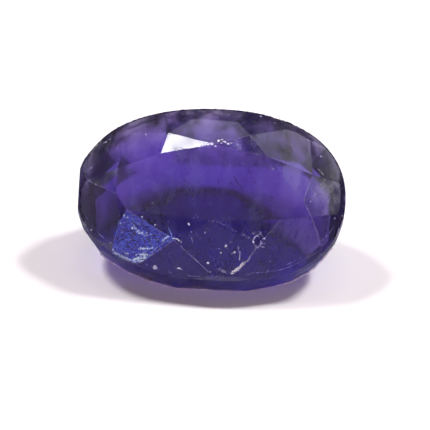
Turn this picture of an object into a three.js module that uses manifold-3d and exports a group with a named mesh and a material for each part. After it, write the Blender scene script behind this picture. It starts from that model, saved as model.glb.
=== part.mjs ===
// Oval faceted iolite: one clear violet-blue stone, cut by hand with a low crown, a thin worn rim and a
// bellied pavilion. It lies on a flat pavilion facet, so its table leans towards the front (-Y).
// Millimetres, +Z up. The stone is cut in its own frame, with the top of the girdle at z = 0, X along the
// length and Y across, and is laid on its resting facet at the end.
import * as THREE from "three";
import { mergeVertices } from "three/addons/utils/BufferGeometryUtils.js";
import Module from "manifold-3d";

const wasm = await Module();
wasm.setup();

// Driving dimensions
const LENGTH = 12.1; // the oval, end to end, before its left end is ground flat
const WIDTH = 8.92; // the oval, side to side
const EGG = 0.04; // the right half is wider than the left by this share each way
const SQUARENESS = 0.9; // power of the oval's sine and cosine: 1 is an ellipse, less is squarer
const LEFT_FLAT = 5.95; // where the flat at the left end is ground, from the middle
const CROWN = 1.05; // table above the top of the girdle
const GIRDLE = 0.45; // plain wall of the girdle
const ROUGH = 5; // depth of the blank below the girdle, before its pavilion is cut
const ROUND_STEPS = 120; // sides that stand for the round girdle

// The rim: a bevel between the girdle and the crown's facets, shallow and wide behind, steep in front
const RIM_HEIGHT = 0.95;
const RIM_FRONT = 50; // slopes in degrees
const RIM_BACK = 31;

// The crown, counter-clockwise from the right end, in millimetres and degrees. Each row has a corner of the
// table in plan, the outer tip of the star facet on the table's edge from it to the next corner, and the azimuth
// and slope of the break facet below that tip, where there is one. A main facet runs out from each corner,
// between two tips.
const CROWN_CUTS = [
  { corner: [4.1, -0.8], tip: [4.5, 0.7, 0.86], below: [30, 28] },
  { corner: [2.4, 1.45], tip: [1.65, 2.6, 0.9], below: [75, 23] },
  { corner: [0.05, 1.95], tip: [-2.05, 2.6, 0.78], below: [105, 22] },
  { corner: [-2.35, 1.35], tip: [-4.0, 1.8, 0.77], below: [132, 25] },
  { corner: [-4.25, 0.45], tip: [-5.65, 0.1, 0.46], below: [180, 44] },
  { corner: [-4.25, -0.85], tip: [-4.0, -2.06, 0.81] },
  { corner: [-3.75, -1.65], tip: [-1.6, -2.9, 0.72], below: [258, 28.5] },
  { corner: [0.0, -2.05], tip: [2.15, -2.98, 0.68], below: [289, 29] },
  { corner: [3.1, -1.8], tip: [4.5, -1.48, 0.87], below: [331, 35] },
];

// The pavilion's facets, with the slope from level and the depth at which each plane reaches the oval. Two tiers
// go round the stone below the girdle. Under them two shallow end facets and the wide front and back facets close
// the stone, in a short keel behind the middle.
const STEEP_TIER = { count: 20, slope: 76, depth: GIRDLE };
const MIDDLE_TIER = { count: 12, slope: 53, depth: 0.75 };
const MIDDLE_FRONT = { slope: 0, depth: 0.35 }; // what the middle tier gains towards the front
const MIDDLE_BACK = { slope: 7, depth: -0.25 }; // and towards the back
const RIGHT_END = { slope: 25, depth: 1.8 };
const LEFT_END = { slope: 25, depth: 2.15 };
const FRONT_FACET = { slope: 28, depth: 1.15 }; // the stone lies on this one
const BACK_FACET = { slope: 28, depth: 2.8 };

const rad = THREE.MathUtils.degToRad;
const softened = (v) => Math.sign(v) * Math.abs(v) ** SQUARENESS;

// A point of the oval in plan, at an angle round it and moved in from the edge
function oval(t, inset = 0) {
  return [
    (LENGTH / 2 - inset) * softened(Math.cos(t)),
    (WIDTH / 2 - inset) * softened(Math.sin(t)) * (1 + EGG * Math.cos(t)),
  ];
}

const ovalAngles = Array.from({ length: ROUND_STEPS }, (_, i) => (i / ROUND_STEPS) * 2 * Math.PI);

// A cutting plane through a point, its outward normal at an azimuth in plan and a slope from level
function plane(azimuth, slope, point, down = false) {
  const a = rad(azimuth);
  const s = rad(slope);
  const normal = new THREE.Vector3(
    Math.sin(s) * Math.cos(a),
    Math.sin(s) * Math.sin(a),
    down ? -Math.cos(s) : Math.cos(s),
  );
  return new THREE.Plane().setFromNormalAndCoplanarPoint(normal, point);
}

// The point of the oval that reaches furthest towards an azimuth
function outermost(azimuth, z) {
  const [c, s] = [Math.cos(rad(azimuth)), Math.sin(rad(azimuth))];
  const points = ovalAngles.map((t) => oval(t));
  const reach = points.map(([x, y]) => x * c + y * s);
  const [x, y] = points[reach.indexOf(Math.max(...reach))];
  return new THREE.Vector3(x, y, z);
}

// The blank: the oval as a stack of rings, with the rim's bevel already on it
function blank() {
  const rimInset = (t) => {
    const back = ((1 + Math.sin(t)) / 2) ** 3;
    return RIM_HEIGHT / Math.tan(rad(RIM_FRONT + (RIM_BACK - RIM_FRONT) * back));
  };
  const rings = [
    { z: -ROUGH, inset: () => 0 },
    { z: 0, inset: () => 0 },
    { z: RIM_HEIGHT, inset: rimInset },
    { z: CROWN + 1, inset: rimInset },
  ];
  const positions = [];
  for (const { z, inset } of rings) {
    for (const t of ovalAngles) positions.push(...oval(t, inset(t)), z);
  }
  const last = rings.length - 1;
  const foot = rings.length * ROUND_STEPS;
  positions.push(0, 0, rings[0].z, 0, 0, rings[last].z);
  const index = [];
  for (let i = 0; i < ROUND_STEPS; i++) {
    const j = (i + 1) % ROUND_STEPS;
    for (let low = 0; low < last * ROUND_STEPS; low += ROUND_STEPS) {
      const high = low + ROUND_STEPS;
      index.push(low + i, low + j, high + j, low + i, high + j, high + i);
    }
    index.push(foot, j, i);
    index.push(foot + 1, last * ROUND_STEPS + i, last * ROUND_STEPS + j);
  }
  const geometry = new THREE.BufferGeometry();
  geometry.setAttribute("position", new THREE.Float32BufferAttribute(positions, 3));
  geometry.setIndex(index);
  return geometry;
}

function crownFacets() {
  const corners = CROWN_CUTS.map(({ corner: [x, y] }) => new THREE.Vector3(x, y, CROWN));
  const tips = CROWN_CUTS.map(({ tip }) => new THREE.Vector3(...tip));
  const at = (points, i) => points[(i + points.length) % points.length];
  const through = (p, q, r) => new THREE.Plane().setFromCoplanarPoints(p, q, r);
  const table = plane(0, 0, corners[0]);
  const mains = corners.map((corner, i) => through(corner, at(tips, i - 1), tips[i]));
  const stars = corners.map((corner, i) => through(corner, tips[i], at(corners, i + 1)));
  const breaks = CROWN_CUTS.flatMap(({ below }, i) => (below ? [plane(...below, tips[i])] : []));
  return [table, ...mains, ...stars, ...breaks];
}

function pavilionFacets() {
  const below = (azimuth, { slope, depth }) => plane(azimuth, slope, outermost(azimuth, -depth), true);
  const middle = (azimuth) => {
    const gain = azimuth < 180 ? MIDDLE_BACK : MIDDLE_FRONT;
    const share = Math.sin(rad(azimuth)) ** 2;
    return { slope: MIDDLE_TIER.slope + share * gain.slope, depth: MIDDLE_TIER.depth + share * gain.depth };
  };
  const azimuths = ({ count }) => Array.from({ length: count }, (_, i) => (i * 360) / count);
  const steepTier = azimuths(STEEP_TIER).map((azimuth) => below(azimuth, STEEP_TIER));
  const middleTier = azimuths(MIDDLE_TIER).map((azimuth) => below(azimuth, middle(azimuth)));
  const ends = [below(0, RIGHT_END), below(180, LEFT_END)];
  return [...steepTier, ...middleTier, ...ends, below(90, BACK_FACET), below(270, FRONT_FACET)];
}

function solid(geometry) {
  const merged = mergeVertices(geometry);
  return new wasm.Manifold(
    new wasm.Mesh({
      numProp: 3,
      vertProperties: merged.attributes.position.array,
      triVerts: new Uint32Array(merged.index.array),
    }),
  );
}

function geometryOf(body) {
  const mesh = body.getMesh();
  const geometry = new THREE.BufferGeometry();
  geometry.setAttribute("position", new THREE.BufferAttribute(mesh.vertProperties, 3));
  geometry.setIndex(new THREE.BufferAttribute(mesh.triVerts, 1));
  const flat = geometry.toNonIndexed();
  flat.computeVertexNormals();
  return flat;
}

// Each facet is ground flat across the blank: everything outside its plane goes
const leftFlat = plane(180, 90, new THREE.Vector3(-LEFT_FLAT, 0, 0));
let stone = solid(blank());
for (const { normal, constant } of [leftFlat, ...crownFacets(), ...pavilionFacets()]) {
  stone = stone.trimByPlane([-normal.x, -normal.y, -normal.z], constant);
}

const iolite = new THREE.Mesh(
  geometryOf(stone),
  new THREE.MeshStandardMaterial({ color: 0x3f2f86, roughness: 0.06, metalness: 0 }),
);
iolite.name = "iolite_gem";

// Laid on the front facet, centred over the origin
iolite.rotation.x = rad(FRONT_FACET.slope);
const gem = new THREE.Group();
gem.add(iolite);
gem.updateMatrixWorld(true);
const box = new THREE.Box3().setFromObject(iolite, true);
iolite.position.set(-(box.min.x + box.max.x) / 2, -(box.min.y + box.max.y) / 2, -box.min.z);

export default gem;
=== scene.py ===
import bpy
import random
from math import atan2, copysign, cos, degrees, pi, radians, sin, sqrt
from mathutils import Matrix, Vector


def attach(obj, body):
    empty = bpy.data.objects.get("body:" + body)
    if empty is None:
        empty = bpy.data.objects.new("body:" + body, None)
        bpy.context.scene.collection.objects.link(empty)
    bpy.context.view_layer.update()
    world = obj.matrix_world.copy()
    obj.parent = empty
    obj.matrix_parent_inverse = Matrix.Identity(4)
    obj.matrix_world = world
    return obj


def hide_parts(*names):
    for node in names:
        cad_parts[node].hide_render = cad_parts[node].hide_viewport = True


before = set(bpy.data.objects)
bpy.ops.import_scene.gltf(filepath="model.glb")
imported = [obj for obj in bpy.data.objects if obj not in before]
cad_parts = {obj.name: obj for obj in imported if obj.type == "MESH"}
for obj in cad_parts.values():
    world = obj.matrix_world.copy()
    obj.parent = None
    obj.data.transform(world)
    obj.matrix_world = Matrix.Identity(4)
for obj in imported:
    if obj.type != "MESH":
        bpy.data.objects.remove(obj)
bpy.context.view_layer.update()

# ---- Camera ----
# The stone is seen from in front and about 32 degrees up, so that its leaning table shows nearly in full. The
# camera is turned a little about its own axis, as it was held.
azimuth, elevation, roll = radians(-1), radians(32), radians(3.2)
camera_distance = 0.15
looks_at = Vector((0.000155, -0.001098, 0.002589))
towards = Vector((sin(azimuth) * cos(elevation), -cos(azimuth) * cos(elevation), sin(elevation)))
level = Vector((cos(azimuth), sin(azimuth), 0))
upright = towards.cross(level)
across = level * cos(roll) + upright * sin(roll)
upwards = upright * cos(roll) - level * sin(roll)
lens = bpy.data.cameras.new("camera")
lens.lens = 280.7
lens.sensor_width = 36
lens.clip_start = 0.01
camera = bpy.data.objects.new("camera", lens)
bpy.context.scene.collection.objects.link(camera)
camera_turn = Matrix((across, upwards, towards)).transposed().to_4x4()
camera.matrix_world = Matrix.Translation(looks_at + towards * camera_distance) @ camera_turn
bpy.context.scene.camera = camera

# ---- Floor and light ----
# A plain sheet of matt white paper with a warm, faintly pink tone, just clear of the stone. Soft panels hang on
# all sides, the strongest behind it to the left and right, and one star facet mirrors a small lamp behind it.
PAPER_SIZE, PAPER_DROP = 1.2, 0.00001
bpy.ops.object.select_all(action="DESELECT")
bpy.ops.mesh.primitive_plane_add(size=PAPER_SIZE, location=(0, 0, -PAPER_DROP))
floor = bpy.context.object
floor.name = "floor"
paper = bpy.data.materials.new("white_paper")
paper.use_nodes = True
nodes, links = paper.node_tree.nodes, paper.node_tree.links
sheet = nodes["Principled BSDF"]
sheet.inputs["Roughness"].default_value = 0.9
where = nodes.new("ShaderNodeTexCoord")
fibre = nodes.new("ShaderNodeTexNoise")
fibre.inputs["Scale"].default_value = 900
links.new(where.outputs["Object"], fibre.inputs["Vector"])
tone = nodes.new("ShaderNodeValToRGB")
tone.color_ramp.elements[0].color = (0.90, 0.87, 0.89, 1)
tone.color_ramp.elements[1].color = (0.92, 0.89, 0.91, 1)
links.new(fibre.outputs["Fac"], tone.inputs["Fac"])
links.new(tone.outputs["Color"], sheet.inputs["Base Color"])
floor.data.materials.append(paper)

room = bpy.data.worlds.new("room")
room.use_nodes = True
nodes, links = room.node_tree.nodes, room.node_tree.links
nodes["Background"].inputs["Color"].default_value = (1, 0.66, 0.60, 1)
direction = nodes.new("ShaderNodeTexCoord")
height = nodes.new("ShaderNodeSeparateXYZ")
links.new(direction.outputs["Generated"], height.inputs["Vector"])
glow = nodes.new("ShaderNodeMapRange")
glow.inputs["From Max"].default_value = 0.8
glow.inputs["To Min"].default_value = 0.02
glow.inputs["To Max"].default_value = 0.085
links.new(height.outputs["Z"], glow.inputs["Value"])
links.new(glow.outputs["Result"], nodes["Background"].inputs["Strength"])
bpy.context.scene.world = room
bpy.context.scene.view_settings.view_transform = "Standard"


def hang_panel(name, x, y, width, depth, radiance, tint=(1, 1, 1), distance=0.4):
    """A soft panel facing the stone, in the direction whose level parts are x and y. Sizes are in metres."""
    direction = Vector((x, y, sqrt(1 - x * x - y * y)))
    light = bpy.data.lights.new(name, "AREA")
    light.shape = "RECTANGLE"
    light.size, light.size_y = width, depth
    light.energy = radiance * pi * width * depth
    light.color = tint
    panel = bpy.data.objects.new(name, light)
    bpy.context.scene.collection.objects.link(panel)
    panel.location = direction * distance
    panel.rotation_mode = "QUATERNION"
    panel.rotation_quaternion = direction.to_track_quat("Z", "Y")


hang_panel("star_lamp", -0.065, 0.468, 0.034, 0.03, 20, distance=0.36)
hang_panel("key_lamp", 0.16, 0.43, 0.045, 0.045, 7, distance=0.36)
hang_panel("back_panel", 0.0, 0.60, 0.10, 0.06, 0.9)
hang_panel("back_right_panel", 0.30, 0.52, 0.12, 0.05, 1.2)
hang_panel("right_veil", 0.64, 0.30, 0.12, 0.25, 0.15)
hang_panel("left_panel", -0.50, 0.47, 0.08, 0.06, 76)
hang_panel("right_panel", 0.53, 0.46, 0.08, 0.06, 94)
hang_panel("low_left_panel", -0.87, -0.19, 0.15, 0.15, 0.4, (1, 0.85, 0.7))
hang_panel("low_right_panel", 0.85, 0.30, 0.25, 0.12, 0.8)
hang_panel("overhead_panel", 0.0, 0.04, 0.12, 0.10, 0.35, (1, 0.6, 1))
hang_panel("wide_front_panel", 0.03, -0.75, 0.40, 0.14, 0.6, (1, 0.85, 1))
hang_panel("low_front_panel", 0.05, -0.94, 0.30, 0.10, 3.2, (1, 0.82, 0.9))

# ---- The stone ----
# One crystal of clear violet-blue iolite, ground into flat facets and polished on a lap. The polish comes and
# goes in patches and is poorer on the pavilion, the girdle is left matt from the wheel, and the rim has small
# chips.
CUT_TOLERANCE = 1e-7  # in metres, as is the next
SHORTEST_EDGE = 1e-5
lean = radians(28)
girdle_centre = (-0.00005, -0.000117, 0.003111)
to_floor = Matrix.Translation(girdle_centre) @ Matrix.Rotation(lean, 4, "X")
stone_up = Vector((0, -sin(lean), cos(lean)))

cad_stone = bpy.data.objects["iolite_gem"]
stone = bpy.data.objects.new("iolite_stone", cad_stone.data.copy())
bpy.context.scene.collection.objects.link(stone)
stone.matrix_world = cad_stone.matrix_world
bpy.ops.object.select_all(action="DESELECT")
stone.select_set(True)
bpy.context.view_layer.objects.active = stone
bpy.ops.object.transform_apply(location=True, rotation=True, scale=True)
bpy.ops.object.mode_set(mode="EDIT")
bpy.ops.mesh.select_all(action="SELECT")
bpy.ops.mesh.remove_doubles(threshold=CUT_TOLERANCE)
bpy.ops.mesh.dissolve_limited(angle_limit=radians(0.5))
bpy.ops.object.mode_set(mode="OBJECT")
CHIPS = [  # azimuth and slope up from level, in degrees, and depth in millimetres
    (72, 24, 0.05), (61, 30, 0.035), (146, 40, 0.06), (139, 48, 0.03), (205, 24, 0.04), (222, 28, 0.03),
    (236, 20, 0.03), (312, 16, 0.03), (341, 20, 0.03),
]
for azimuth, slope, depth in CHIPS:
    a, b = radians(azimuth), radians(slope)
    broken = Matrix.Rotation(lean, 3, "X") @ Vector((cos(a) * cos(b), sin(a) * cos(b), sin(b)))
    outermost = max((v.co for v in stone.data.vertices), key=broken.dot)
    bpy.ops.object.mode_set(mode="EDIT")
    bpy.ops.mesh.select_all(action="SELECT")
    bpy.ops.mesh.bisect(
        plane_co=outermost - broken * depth / 1000,
        plane_no=broken,
        use_fill=True,
        clear_outer=True,
        threshold=CUT_TOLERANCE,
    )
    bpy.ops.object.mode_set(mode="OBJECT")
bpy.ops.object.mode_set(mode="EDIT")
bpy.ops.mesh.select_all(action="SELECT")
bpy.ops.mesh.remove_doubles(threshold=SHORTEST_EDGE)
bpy.ops.object.mode_set(mode="OBJECT")

roughness = stone.data.attributes.new("polish", "FLOAT", "FACE")
waves = stone.data.attributes.new("waves", "FLOAT", "FACE")
star_facet = Vector((-0.056, 0.224, 0.973)).normalized()
for facet in stone.data.polygons:
    facet.use_smooth = False
    x, y, z = Matrix.Rotation(-lean, 3, "X") @ facet.normal  # as it stood on the cutter's dop, table up
    if z < -0.85 and abs(x) < 0.01:
        finish, wavy = 0.3, 0.6  # the wide front and back facets
    elif z < -0.05 and abs(x) > 0.6:
        finish, wavy = 0.32, 0.8  # the ends of the pavilion
    elif z < -0.05:
        finish, wavy = 0.39, 0.8  # the rest of the pavilion
    elif z < 0.2:
        finish, wavy = 0.6, 0.3  # the girdle
    elif Vector((x, y, z)).angle(star_facet) < radians(1.5):
        finish, wavy = 0.1, 0.03  # the star facet that mirrors the lamp
    elif z < 0.9:
        finish, wavy = 0.07, 0.4  # the rim and the steepest crown facets
    elif y > 0.1 and x < -0.08:
        finish, wavy = 0.07, 0.3  # the crown at the back, on the left
    elif y > 0.1:
        finish, wavy = 0.12, 0.9  # the crown at the back, on the right
    else:
        finish, wavy = 0.2, 0.3  # the table and the front of the crown
    roughness.data[facet.index].value = finish
    waves.data[facet.index].value = wavy

crystal = bpy.data.materials.new("iolite_crystal")
crystal.use_nodes = True
nodes, links = crystal.node_tree.nodes, crystal.node_tree.links
surface = nodes["Principled BSDF"]
surface.inputs["IOR"].default_value = 1.54
surface.inputs["Transmission Weight"].default_value = 0.98

# Each facet's own polish, a little uneven with the marks of the lap
polish = nodes.new("ShaderNodeAttribute")
polish.attribute_name = "polish"
where = nodes.new("ShaderNodeTexCoord")
lap_marks = nodes.new("ShaderNodeTexNoise")
lap_marks.inputs["Scale"].default_value = 2500
lap_marks.inputs["Detail"].default_value = 3
links.new(where.outputs["Object"], lap_marks.inputs["Vector"])
uneven = nodes.new("ShaderNodeMapRange")
uneven.inputs["To Min"].default_value = 0.8
uneven.inputs["To Max"].default_value = 1.3
links.new(lap_marks.outputs["Fac"], uneven.inputs["Value"])
polished = nodes.new("ShaderNodeMath")
polished.operation = "MULTIPLY"
links.new(polish.outputs["Fac"], polished.inputs[0])
links.new(uneven.outputs["Result"], polished.inputs[1])

# Clouds drawn out along the stone, which tint the surface and dull the polish in patches
along = nodes.new("ShaderNodeMapping")
along.inputs["Scale"].default_value = (1, 0.45, 0.45)
links.new(where.outputs["Object"], along.inputs["Vector"])
clouds = nodes.new("ShaderNodeTexNoise")
clouds.inputs["Scale"].default_value = 900
clouds.inputs["Detail"].default_value = 6
clouds.inputs["Roughness"].default_value = 0.65
links.new(along.outputs["Vector"], clouds.inputs["Vector"])
cloudy = nodes.new("ShaderNodeValToRGB")
cloudy.color_ramp.elements[0].position = 0.35
cloudy.color_ramp.elements[0].color = (0.58, 0.48, 0.68, 1)
cloudy.color_ramp.elements[1].position = 0.6
cloudy.color_ramp.elements[1].color = (1, 1, 1, 1)
links.new(clouds.outputs["Fac"], cloudy.inputs["Fac"])
links.new(cloudy.outputs["Color"], surface.inputs["Base Color"])
dulled = nodes.new("ShaderNodeMapRange")
dulled.inputs["From Min"].default_value = 0.38
dulled.inputs["From Max"].default_value = 0.62
dulled.inputs["To Min"].default_value = 0.6
dulled.inputs["To Max"].default_value = 1.65
links.new(clouds.outputs["Fac"], dulled.inputs["Value"])
patchy = nodes.new("ShaderNodeMath")
patchy.operation = "MULTIPLY"
links.new(polished.outputs["Value"], patchy.inputs[0])
links.new(dulled.outputs["Result"], patchy.inputs[1])
links.new(patchy.outputs["Value"], surface.inputs["Roughness"])

# A surface that isn't quite flat, more so on some facets than on others, with the grain of the grinding on it
wave_share = nodes.new("ShaderNodeAttribute")
wave_share.attribute_name = "waves"
swell = nodes.new("ShaderNodeTexNoise")
swell.inputs["Scale"].default_value = 1100
swell.inputs["Detail"].default_value = 2
links.new(along.outputs["Vector"], swell.inputs["Vector"])
ripples = nodes.new("ShaderNodeMath")
ripples.operation = "MULTIPLY_ADD"
links.new(clouds.outputs["Fac"], ripples.inputs[0])
ripples.inputs[1].default_value = 0.35
links.new(swell.outputs["Fac"], ripples.inputs[2])
worn = nodes.new("ShaderNodeBump")
worn.inputs["Distance"].default_value = 0.00004
links.new(wave_share.outputs["Fac"], worn.inputs["Strength"])
links.new(ripples.outputs["Value"], worn.inputs["Height"])
grind = nodes.new("ShaderNodeBump")
grind.inputs["Distance"].default_value = 0.000002
links.new(polish.outputs["Fac"], grind.inputs["Strength"])
links.new(lap_marks.outputs["Fac"], grind.inputs["Height"])
links.new(worn.outputs["Normal"], grind.inputs["Normal"])
links.new(grind.outputs["Normal"], surface.inputs["Normal"])

# The colour comes from the depth of crystal that the light crosses
colour = nodes.new("ShaderNodeVolumeAbsorption")
colour.inputs["Color"].default_value = (0.34, 0.17, 0.74, 1)
colour.inputs["Density"].default_value = 790
links.new(colour.outputs["Volume"], nodes["Material Output"].inputs["Volume"])
stone.data.materials.clear()
stone.data.materials.append(crystal)
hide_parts("iolite_gem")
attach(stone, "root")

# ---- Worn ridges ----
# The ridges between the crown's facets are scuffed to a thin, broken, frosted line, and so is the edge that lies
# nearest the paper in front, whose near-white pink colour is also a painted highlight: the thin bright line of
# light along that edge. Each line is a fine tube let halfway into the stone along the ridge, uneven in thickness
# where the wear comes and goes.
rng = random.Random(7)
ABOVE_THE_STONE = 0.004  # in metres, from the top of the girdle
RIDGE_STEP = 0.06  # in millimetres


def on_stone(x, y):
    """The place and normal of the stone's upper surface at a point of its plan, given in millimetres."""
    start = to_floor @ Vector((x / 1000, y / 1000, ABOVE_THE_STONE))
    hit, place, normal, _ = stone.ray_cast(start, -stone_up)
    return (place, normal) if hit else (None, None)


def frosted(name, dark, light, scale):
    """Broken crystal in patches of a dark and a light colour: on the ridges pale where it is bruised and clear
    violet in between; on the lower edge and the girdle edge the colours also paint a highlight and shade.
    """
    material = bpy.data.materials.new(name)
    material.use_nodes = True
    nodes, links = material.node_tree.nodes, material.node_tree.links
    face = nodes["Principled BSDF"]
    face.inputs["Roughness"].default_value = 0.35
    face.inputs["IOR"].default_value = 1.54
    where = nodes.new("ShaderNodeTexCoord")
    patches = nodes.new("ShaderNodeTexNoise")
    patches.inputs["Scale"].default_value = scale
    patches.inputs["Detail"].default_value = 4
    links.new(where.outputs["Object"], patches.inputs["Vector"])
    ramp = nodes.new("ShaderNodeValToRGB")
    ramp.color_ramp.elements[0].position = 0.4
    ramp.color_ramp.elements[0].color = dark
    ramp.color_ramp.elements[1].position = 0.65
    ramp.color_ramp.elements[1].color = light
    links.new(patches.outputs["Fac"], ramp.inputs["Fac"])
    links.new(ramp.outputs["Color"], face.inputs["Base Color"])
    grain = nodes.new("ShaderNodeBump")
    grain.inputs["Distance"].default_value = 0.000008
    grain.inputs["Strength"].default_value = 0.6
    links.new(patches.outputs["Fac"], grain.inputs["Height"])
    links.new(grain.outputs["Normal"], face.inputs["Normal"])
    return material


def on_ridge(points):
    """Closely spaced places on the stone along points of its plan."""
    places = []
    for (x0, y0), (x1, y1) in zip(points, points[1:]):
        steps = max(2, round(sqrt((x1 - x0) ** 2 + (y1 - y0) ** 2) / RIDGE_STEP))
        places += [on_stone(x0 + (x1 - x0) * i / steps, y0 + (y1 - y0) * i / steps)[0] for i in range(steps)]
    return places + [on_stone(*points[-1])[0]]


def tube(name, places, radius, thicknesses, material):
    """A fine tube along places in space, with a radius in millimetres and a share of it for each place."""
    path = bpy.data.curves.new(name, "CURVE")
    path.dimensions = "3D"
    path.bevel_depth = radius / 1000
    path.bevel_resolution = 1
    path.use_fill_caps = True
    spline = path.splines.new("POLY")
    spline.points.add(len(places) - 1)
    for point, place, thickness in zip(spline.points, places, thicknesses):
        point.co = (*place, 1)
        point.radius = thickness
    line = bpy.data.objects.new(name, path)
    bpy.context.scene.collection.objects.link(line)
    bpy.ops.object.select_all(action="DESELECT")
    line.select_set(True)
    bpy.context.view_layer.objects.active = line
    bpy.ops.object.convert(target="MESH")
    line = bpy.context.object
    line.data.materials.clear()
    line.data.materials.append(material)
    return line


def scuffed_line(name, places, radius, material):
    """A tube that is thin at both ends and uneven in between."""
    uneven = [rng.uniform(0.25, 1.25) for _ in places[2:]]
    return tube(name, places, radius, [0.25, *uneven, 0.25], material)


def joined(name, pieces):
    """The pieces joined to one mesh."""
    bpy.ops.object.select_all(action="DESELECT")
    for piece in pieces:
        piece.select_set(True)
    bpy.context.view_layer.objects.active = pieces[0]
    bpy.ops.object.join()
    pieces[0].name = name
    pieces[0].data.name = name
    return pieces[0]


scuffed = frosted("scuffed_iolite", (0.10, 0.07, 0.22, 1), (0.36, 0.32, 0.50, 1), 9000)
RIDGES = [  # the line's radius and the points of the plan that it runs through, in millimetres
    (0.016, (-1.58, -2.9), (-0.06, -4.1)),
    (0.022, (1.39, -4.03), (2.15, -2.98)),
    (0.012, (4.1, -0.8), (4.48, -1.46)),
    (0.018, (4.48, -1.46), (4.79, -2.09), (5.0, -2.58)),
    (0.016, (4.93, -2.73), (4.66, -2.94), (4.1, -3.3), (3.54, -3.62), (3.12, -3.8), (2.56, -3.96), (1.85, -4.08)),
    (0.012, (-4.0, -2.06), (-4.17, -2.69), (-4.31, -3.14)),
    (0.020, (-4.31, -3.14), (-3.8, -3.52), (-3.23, -3.80), (-2.95, -3.75)),
    (0.014, (-1.6, -2.9), (-2.95, -3.74)),
    (0.010, (2.15, -2.98), (3.1, -1.8)),
    (0.010, (-1.6, -2.9), (-3.75, -1.65)),
    (0.008, (4.1, -0.8), (4.45, 0.6)),
    (0.012, (0.05, 1.95), (1.65, 2.6)),
    (0.008, (-2.35, 1.35), (-2.05, 2.6)),
    (0.008, (-5.6, 0.1), (-4.25, -0.85)),
    (0.008, (5.6, 0.72), (4.1, -0.8)),
    (0.010, (2.4, 1.45), (4.5, 0.7)),
    (0.016, (5.97, -0.45), (5.99, -0.1), (5.97, 0.4)),
    (0.020, (5.64, -1.93), (5.72, -1.62), (5.85, -1.25)),
]
lines = [scuffed_line("ridge", on_ridge(points), radius, scuffed) for radius, *points in RIDGES]
LOWER_EDGE = [  # the edge nearest the paper in front, in millimetres from the middle of the floor
    (-4.91, -1.92, 0.79), (-4.64, -1.92, 0.54), (-3.65, -2.75, 0.40), (-2.78, -2.77, 0.055), (-1.43, -3.34, 0.055),
    (1.76, -3.34, 0.055), (2.92, -2.85, 0.055), (3.66, -2.85, 0.34), (4.52, -2.12, 0.46), (4.78, -2.11, 0.71),
    (5.52, -1.42, 1.34),
]
# Near white and pink: the edge's wear, with a painted highlight of the bright line along it
edge_wear_and_highlight = frosted("edge_wear_and_painted_highlight", (0.70, 0.52, 0.70, 1), (0.98, 0.88, 0.96, 1), 2500)
EDGE_STEPS = 16
edge = [Vector(place) / 1000 for place in LOWER_EDGE]
steps = [a.lerp(b, i / EDGE_STEPS) for a, b in zip(edge, edge[1:]) for i in range(EDGE_STEPS)] + [edge[-1]]
lines.append(scuffed_line("lower_edge", steps, 0.034, edge_wear_and_highlight))
worn_ridges = joined("worn_ridges", lines)
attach(worn_ridges, "root")

# ---- Girdle edge ----
# The top edge of the girdle, ground and never polished, a tube let into the stone as the ridges are, from the
# right end round the back to the left. Its near-black colour is painted shade, the dark outline along that edge,
# and its low IOR takes off the gloss that would lighten it.
HALF_LENGTH, HALF_WIDTH, LEFT_FLAT = 6.0, 4.40, -5.86  # in millimetres
SQUARENESS, EGG = 0.9, 0.04  # the oval's power, and how much wider its right half is
DULL = 1.1  # an IOR that leaves hardly any gloss
shade = frosted("girdle_edge_painted_shade", (0.012, 0.008, 0.035, 1), (0.05, 0.035, 0.12, 1), 2500)
shade.node_tree.nodes["Principled BSDF"].inputs["IOR"].default_value = DULL
around = []
for azimuth in range(-18, 202, 3):
    t = radians(azimuth)
    x = copysign(HALF_LENGTH * abs(cos(t)) ** SQUARENESS, cos(t))
    y = copysign(HALF_WIDTH * abs(sin(t)) ** SQUARENESS, sin(t)) * (1 + EGG * cos(t))
    around.append((max(x, LEFT_FLAT), y))
girdle_edge = scuffed_line("girdle_edge", on_ridge(around), 0.042, shade)
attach(girdle_edge, "root")

# ---- Pits and bruises ----
# Small crystals of other minerals reach the polished surface, where they have pulled out or bruised the iolite.
# Each shows as a grain from pale violet to bright white, most of them round the front of the crown: the pale
# bruise is real, and the brighter the grain, the more of its colour is a painted glint of the light its broken
# faces catch.
LOWEST_GRAIN, BRIGHT_GRAIN_ADDS = 0.005, 0.022  # how far a grain stands out, in millimetres


def grains(name, pattern, places, material):
    """Copies of one grain as one mesh, at places of (x, y, length, width, turn, brightness) in mm and degrees."""
    corners, faces, glints = [], [], []
    for x, y, length, width, turn, brightness in places:
        place, normal = on_stone(x, y)
        if place is None:
            continue
        ahead = Matrix.Rotation(lean, 3, "X") @ Vector((cos(radians(turn)), sin(radians(turn)), 0))
        ahead = (ahead - normal * ahead.dot(normal)).normalized()
        aligned = Matrix((ahead, normal.cross(ahead), normal)).transposed()
        height = LOWEST_GRAIN + BRIGHT_GRAIN_ADDS * brightness
        size = Matrix.Diagonal((length / 2 / 1000, width / 2 / 1000, height / 1000))
        first = len(corners)
        corners += [place + aligned @ size @ v.co for v in pattern.vertices]
        faces += [[first + i for i in p.vertices] for p in pattern.polygons]
        glints += [brightness] * len(pattern.polygons)
    mesh = bpy.data.meshes.new(name)
    mesh.from_pydata(corners, [], faces)
    attribute = mesh.attributes.new("glint", "FLOAT", "FACE")
    attribute.data.foreach_set("value", glints)
    mesh.materials.append(material)
    piece = bpy.data.objects.new(name, mesh)
    bpy.context.scene.collection.objects.link(piece)
    return piece


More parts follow.
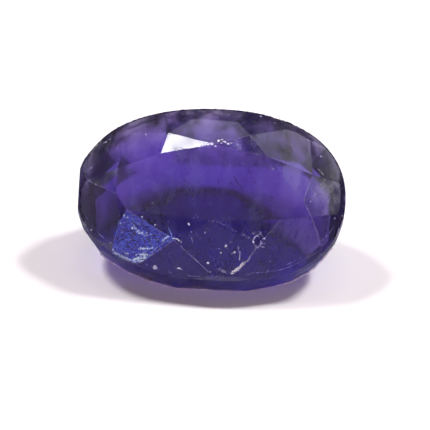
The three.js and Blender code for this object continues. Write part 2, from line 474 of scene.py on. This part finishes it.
def glint_painted_material(name, stops, roughness):
    """A grain's colour goes from the dark to the light stop with its brightness, a painted glint: the more light a
    grain is meant to catch, the whiter it is.
    """
    material = bpy.data.materials.new(name)
    material.use_nodes = True
    nodes, links = material.node_tree.nodes, material.node_tree.links
    face = nodes["Principled BSDF"]
    face.inputs["Roughness"].default_value = roughness
    glint = nodes.new("ShaderNodeAttribute")
    glint.attribute_name = "glint"
    where = nodes.new("ShaderNodeTexCoord")
    fleck = nodes.new("ShaderNodeTexNoise")
    fleck.inputs["Scale"].default_value = 20000
    links.new(where.outputs["Object"], fleck.inputs["Vector"])
    mixed = nodes.new("ShaderNodeMath")
    mixed.operation = "MULTIPLY_ADD"
    links.new(fleck.outputs["Fac"], mixed.inputs[0])
    mixed.inputs[1].default_value = 0.2
    links.new(glint.outputs["Fac"], mixed.inputs[2])
    ramp = nodes.new("ShaderNodeValToRGB")
    ends = ramp.color_ramp.elements[0], ramp.color_ramp.elements[1]
    for stop, (position, shade) in zip(ends, (stops[0], stops[-1])):
        stop.position = position
        stop.color = shade
    for position, shade in stops[1:-1]:
        ramp.color_ramp.elements.new(position).color = shade
    links.new(mixed.outputs["Value"], ramp.inputs["Fac"])
    links.new(ramp.outputs["Color"], face.inputs["Base Color"])
    return material


def strewn(count, spread, size, low, high, *points):
    """Places of grains along a line in plan, lying along it: number, spread and size in mm, and brightness."""
    lengths = [sqrt((x1 - x0) ** 2 + (y1 - y0) ** 2) for (x0, y0), (x1, y1) in zip(points, points[1:])]
    places = []
    for _ in range(count):
        i = rng.choices(range(len(lengths)), lengths)[0]
        (x0, y0), (x1, y1) = points[i], points[i + 1]
        t = rng.random()
        turn = degrees(atan2(y1 - y0, x1 - x0)) + rng.gauss(0, 12)
        width = size * rng.uniform(0.5, 1.2)
        x, y = x0 + (x1 - x0) * t + rng.gauss(0, spread), y0 + (y1 - y0) * t + rng.gauss(0, spread)
        places.append((x, y, width * rng.uniform(1.2, 3), width, turn, rng.uniform(low, high)))
    return places


bpy.ops.object.select_all(action="DESELECT")
bpy.ops.mesh.primitive_ico_sphere_add(subdivisions=1, radius=1, location=(0, 0, 0))
one_grain = bpy.context.object
bpy.ops.object.mode_set(mode="EDIT")
bpy.ops.mesh.select_all(action="SELECT")
bpy.ops.transform.vertex_random(offset=0.22, seed=5)
bpy.ops.object.mode_set(mode="OBJECT")
grain_mesh = one_grain.data
bpy.data.objects.remove(one_grain)

PITS = [  # x, y, length, width, turn and brightness
    (-0.96, -2.20, 0.17, 0.09, 122, 1.0), (-0.83, -2.53, 0.08, 0.06, 0, 0.35), (-0.90, -2.70, 0.05, 0.04, 0, 0.3),
    (-0.80, -2.80, 0.16, 0.03, 105, 0.6), (-0.75, -2.93, 0.10, 0.03, 80, 0.5), (-0.22, -2.53, 0.10, 0.06, 60, 0.6),
    (-0.43, -2.77, 0.05, 0.04, 0, 0.35), (-0.55, -2.62, 0.04, 0.04, 0, 0.3), (-0.03, -3.79, 0.13, 0.11, 0, 1.0),
    (-1.30, -4.01, 0.20, 0.08, 5, 1.0), (-1.18, -4.06, 0.09, 0.05, 0, 0.6), (-2.36, -3.97, 0.24, 0.22, 0, 0.6),
    (0.52, -3.34, 0.09, 0.07, -40, 0.7), (0.43, -3.17, 0.06, 0.05, 0, 0.5), (0.73, -3.05, 0.15, 0.12, 70, 0.7),
    (0.93, -2.89, 0.07, 0.05, 30, 0.55), (0.82, -3.18, 0.12, 0.03, -60, 0.4), (1.12, -3.30, 0.12, 0.10, 0, 0.75),
    (1.02, -3.36, 0.08, 0.05, 10, 0.5), (1.94, -2.83, 0.11, 0.10, 0, 1.0), (2.42, -2.65, 0.09, 0.08, 0, 0.8),
    (2.37, -2.99, 0.20, 0.04, 0, 0.6), (2.16, -3.05, 0.09, 0.06, 20, 0.5), (1.51, -2.55, 0.18, 0.04, -40, 0.5),
    (1.73, -2.66, 0.10, 0.05, 150, 0.5), (1.15, -2.42, 0.08, 0.04, 150, 0.3), (0.08, -4.16, 0.08, 0.06, 0, 0.5),
    (-0.03, -4.13, 0.06, 0.04, 0, 0.5), (2.72, -3.51, 0.12, 0.03, 10, 0.35), (4.42, -0.72, 0.09, 0.06, 60, 0.5),
    (4.55, -0.68, 0.05, 0.04, 0, 0.4), (5.22, -0.48, 0.09, 0.06, 30, 0.4), (5.55, -1.18, 0.12, 0.05, 60, 0.5),
    (-5.28, -2.15, 0.09, 0.06, 60, 0.8), (-2.63, -1.25, 0.09, 0.07, 0, 0.25), (-3.04, -1.94, 0.09, 0.06, 0, 0.25),
    (-4.85, 2.31, 0.12, 0.07, 60, 0.6), (-4.93, 2.30, 0.07, 0.05, 100, 0.5), (-4.67, 2.42, 0.10, 0.05, 40, 0.5),
    (-5.45, 0.83, 0.10, 0.07, 30, 0.25), (-3.33, 2.66, 0.12, 0.07, 0, 0.25), (-3.06, 2.50, 0.16, 0.04, 100, 0.25),
    (0.22, 2.18, 0.20, 0.10, 80, 0.95), (0.09, 1.84, 0.12, 0.10, 0, 1.0), (0.37, 2.25, 0.16, 0.07, 30, 0.8),
    (0.50, 2.12, 0.22, 0.09, -20, 0.9), (0.66, 2.02, 0.15, 0.11, 0, 1.0), (-0.10, 2.02, 0.16, 0.08, 10, 0.9),
    (0.36, 2.03, 0.12, 0.05, 10, 0.8), (0.80, 2.07, 0.10, 0.06, 30, 0.8), (1.00, 2.20, 0.09, 0.04, 30, 0.4),
    (-0.25, 2.30, 0.07, 0.05, 0, 0.4), (4.88, 2.00, 0.13, 0.06, 110, 0.6), (2.70, 0.80, 0.10, 0.06, -40, 0.6),
    (2.76, 3.68, 0.10, 0.05, -20, 0.5), (2.12, 4.10, 0.16, 0.07, -15, 0.6), (-0.07, -1.14, 0.06, 0.04, 0, 0.3),
    (0.02, -1.22, 0.05, 0.03, 40, 0.25), (-2.33, -2.31, 0.06, 0.04, 0, 0.2), (5.90, -0.9, 0.14, 0.05, 80, 0.7),
]
STREWN_PITS = [  # number, spread, size, least and most brightness, and the line that they lie along
    (26, 0.010, 0.035, 0.7, 1.0, (-1.67, -2.82), (-1.54, -2.84), (-1.4, -2.89), (-1.24, -3.01)),
    (26, 0.008, 0.032, 0.6, 0.95, (1.27, -3.07), (1.32, -3.19), (1.37, -3.35), (1.36, -3.48), (1.36, -3.6)),
    (60, 0.030, 0.050, 0.6, 1.0, (1.54, -3.74), (1.39, -3.89), (1.22, -4.05), (1.05, -4.16)),
    (22, 0.015, 0.040, 0.5, 0.9, (1.85, -3.45), (1.65, -3.67), (1.39, -3.89)),
    (26, 0.030, 0.035, 0.2, 0.6, (1.05, -4.16), (0.83, -4.15), (0.61, -4.09), (0.38, -4.0)),
    (30, 0.015, 0.040, 0.3, 0.7, (1.92, -2.78), (2.0, -2.6), (2.11, -2.54), (2.22, -2.64)),
    (26, 0.020, 0.035, 0.3, 0.6, (2.27, -2.75), (2.25, -2.95), (2.12, -3.03), (1.98, -2.96)),
    (30, 0.050, 0.035, 0.2, 0.45, (1.9, -2.45), (2.2, -2.42), (2.4, -2.62), (2.35, -2.9)),
    (40, 0.020, 0.030, 0.15, 0.35, (-0.24, -2.07), (0.2, -2.02), (0.78, -2.23), (1.33, -2.5), (1.85, -2.78)),
    (16, 0.006, 0.022, 0.4, 0.7, (3.35, 2.68), (3.55, 2.3), (3.68, 2.05)),
    (16, 0.006, 0.025, 0.5, 0.9, (4.71, 1.20), (4.88, 1.02), (5.02, 0.87)),
    (12, 0.006, 0.018, 0.3, 0.5, (2.03, 1.21), (2.4, 1.0), (2.70, 0.80)),
    (12, 0.006, 0.018, 0.25, 0.45, (0.20, 1.22), (0.6, 0.9), (0.98, 0.5)),
    (14, 0.010, 0.018, 0.2, 0.4, (1.72, 2.45), (1.9, 2.3), (2.04, 2.13), (1.82, 1.93)),
    (8, 0.010, 0.018, 0.2, 0.4, (1.94, 2.67), (2.27, 2.36)),
]
marks = list(PITS)
for row in STREWN_PITS:
    marks += strewn(*row)
RIM_BRUISES, RIM_HALF_LENGTH, RIM_HALF_WIDTH = 70, 5.91, 4.35
for _ in range(RIM_BRUISES):
    t = radians(rng.uniform(200, 340))
    x, y = RIM_HALF_LENGTH * cos(t), RIM_HALF_WIDTH * sin(t)
    length, width = rng.uniform(0.04, 0.2), rng.uniform(0.02, 0.035)
    marks.append((x, y, length, width, degrees(t) + 90, rng.uniform(0.15, 0.45)))
# Pale violet to white with brightness: the bruise's own pale colour, and for the brighter grains a painted glint
bruise_and_glint_paint = glint_painted_material(
    "bruised_iolite_painted_glints",
    [(0.2, (0.16, 0.12, 0.33, 1)), (0.6, (0.42, 0.38, 0.62, 1)), (1.0, (0.85, 0.83, 0.92, 1))],
    0.3,
)
pits = grains("pits_bruises_and_painted_glints", grain_mesh, marks, bruise_and_glint_paint)
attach(pits, "root")

# ---- Drop veil ----
# A healed crack lies flat under the left front facet, a sheet of tiny liquid drops, thickest along the facet's
# lower edge and in a streak from its upper corner. Its blue and white glitter is painted into the drops' colours,
# each grain whiter the more light it is meant to catch.
VEIL = [  # its outline in plan, in millimetres
    (-3.75, -1.65), (-4.0, -2.06), (-4.17, -2.69), (-4.31, -3.14), (-3.23, -3.80), (-2.95, -3.75), (-1.58, -2.90),
]
FLAKES, DROPS = 540, 780
THICK_EDGE, EDGE_REACH = ((-3.7, -3.45), (-2.75, -3.5)), 0.6
THICK_STREAK, STREAK_REACH = ((-3.9, -1.85), (-2.5, -2.95)), 0.4


def inside(x, y, outline):
    """Whether a point of the plan lies in an outline."""
    crossings = 0
    for (x0, y0), (x1, y1) in zip(outline, outline[1:] + outline[:1]):
        if (y0 > y) != (y1 > y) and x < x0 + (x1 - x0) * (y - y0) / (y1 - y0):
            crossings += 1
    return crossings % 2 == 1


def from_line(x, y, a, b):
    """How far a point of the plan is from a line between two others."""
    (x0, y0), (x1, y1) = a, b
    along = ((x - x0) * (x1 - x0) + (y - y0) * (y1 - y0)) / ((x1 - x0) ** 2 + (y1 - y0) ** 2)
    along = min(1, max(0, along))
    return sqrt((x - x0 - along * (x1 - x0)) ** 2 + (y - y0 - along * (y1 - y0)) ** 2)


drops = []
while len(drops) < FLAKES + DROPS:
    x, y = rng.uniform(-4.31, -1.6), rng.uniform(-3.8, -1.7)
    if not inside(x, y, VEIL):
        continue
    if len(drops) < FLAKES:  # wide and dark, behind the drops
        width = rng.uniform(0.06, 0.13)
        drops.append((x, y, width * rng.uniform(1.2, 2.2), width, rng.gauss(-10, 20), rng.uniform(0.0, 0.3)))
        continue
    lower = max(0, 1 - from_line(x, y, *THICK_EDGE) / EDGE_REACH)
    streak = max(0, 1 - from_line(x, y, *THICK_STREAK) / STREAK_REACH)
    if rng.random() > 0.35 + 0.5 * lower + 0.5 * streak:  # fewer away from both
        continue
    size = rng.uniform(0.02, 0.045)
    bright = min(0.9, 0.08 + rng.random() ** 2 * (0.35 + 0.45 * lower + 0.4 * streak))
    drops.append((x, y, size * rng.uniform(1, 2.5), size, rng.gauss(-20, 25), bright))
STREWN_DROPS = [  # as for the pits
    (150, 0.018, 0.040, 0.5, 1.0, (-4.3, -3.12), (-4.21, -3.27), (-3.85, -3.5), (-3.3, -3.73), (-2.9, -3.7)),
    (60, 0.020, 0.030, 0.3, 0.8, (-2.78, -3.63), (-2.4, -3.26), (-2.02, -3.0), (-1.67, -2.84)),
    (30, 0.020, 0.030, 0.2, 0.6, (-4.02, -1.82), (-4.11, -2.42), (-4.27, -3.0)),
    (24, 0.020, 0.030, 0.3, 0.7, (-1.69, -2.82), (-1.73, -2.6), (-1.83, -2.42)),
    (46, 0.025, 0.045, 0.6, 1.0, (-3.15, -3.24), (-2.93, -3.22), (-2.67, -3.23), (-2.45, -3.17)),
    (40, 0.025, 0.045, 0.6, 1.0, (-3.1, -3.45), (-2.97, -3.44), (-2.7, -3.45)),
    (60, 0.030, 0.050, 0.7, 1.0, (-3.31, -3.62), (-3.09, -3.6), (-2.78, -3.55)),
    (60, 0.035, 0.040, 0.4, 1.0, (-3.55, -2.35), (-3.38, -2.37), (-3.24, -2.51), (-3.05, -2.6), (-2.74, -2.7)),
    (30, 0.030, 0.040, 0.5, 0.9, (-2.06, -2.93), (-1.98, -2.81), (-1.85, -2.76)),
    (60, 0.080, 0.045, 0.25, 0.5, (-4.2, -3.16), (-3.75, -2.86), (-3.4, -2.79)),
]
for row in STREWN_DROPS:
    drops += strewn(*row)
BRIGHTEST = [
    (-3.84, -1.87), (-3.68, -1.97), (-3.98, -2.19), (-3.04, -1.95), (-3.44, -2.39), (-3.21, -2.51), (-2.45, -2.28),
]
for x, y in BRIGHTEST:
    drops.append((x, y, 0.09, 0.07, rng.uniform(0, 180), rng.uniform(0.8, 1)))
# Deep blue to white with brightness: painted glints of the drops
drop_glint_paint = glint_painted_material(
    "drop_veil_painted_glints",
    [
        (0.1, (0.034, 0.028, 0.34, 1)),
        (0.45, (0.08, 0.11, 0.68, 1)),
        (0.75, (0.28, 0.40, 1.0, 1)),
        (1.0, (0.72, 0.86, 1.0, 1)),
    ],
    0.25,
)
veil = grains("drop_veil_painted_glints", grain_mesh, drops, drop_glint_paint)
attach(veil, "root")

# ---- Needles inside ----
# Thin dark needles and grains of another mineral, which grew inside the crystal. They lie a little under the
# table, each a short thread that is thinner in some places than in others.
NEEDLES = [  # the radius, then points by their place in plan and height above the girdle, in millimetres
    (0.020, (0.98, 0.50, 0.50), (1.12, 0.25, 0.50), (1.42, -0.16, 0.50)),
    (0.022, (0.84, 0.20, 0.50), (0.92, 0.08, 0.50)),
    (0.016, (1.60, 0.95, 0.50), (1.72, 0.70, 0.50)),
    (0.026, (1.90, 0.26, 0.55), (1.96, 0.20, 0.55)),
    (0.024, (2.68, -0.47, 0.55), (2.74, -0.53, 0.55)),
    (0.012, (-1.25, 0.30, 0.50), (-1.23, -0.05, 0.50)),
    (0.012, (0.30, 0.35, 0.50), (0.28, 0.10, 0.50)),
    (0.030, (1.10, -1.04, 0.40), (1.20, -1.10, 0.40)),
]
dark = frosted("dark_needle", (0.012, 0.006, 0.03, 1), (0.035, 0.015, 0.08, 1), 9000)
threads = []
for radius, *points in NEEDLES:
    places = [to_floor @ (Vector(point) / 1000) for point in points]
    threads.append(tube("needle", places, radius, [rng.uniform(0.6, 1) for _ in points], dark))
needles = joined("needles_inside", threads)
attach(needles, "root")
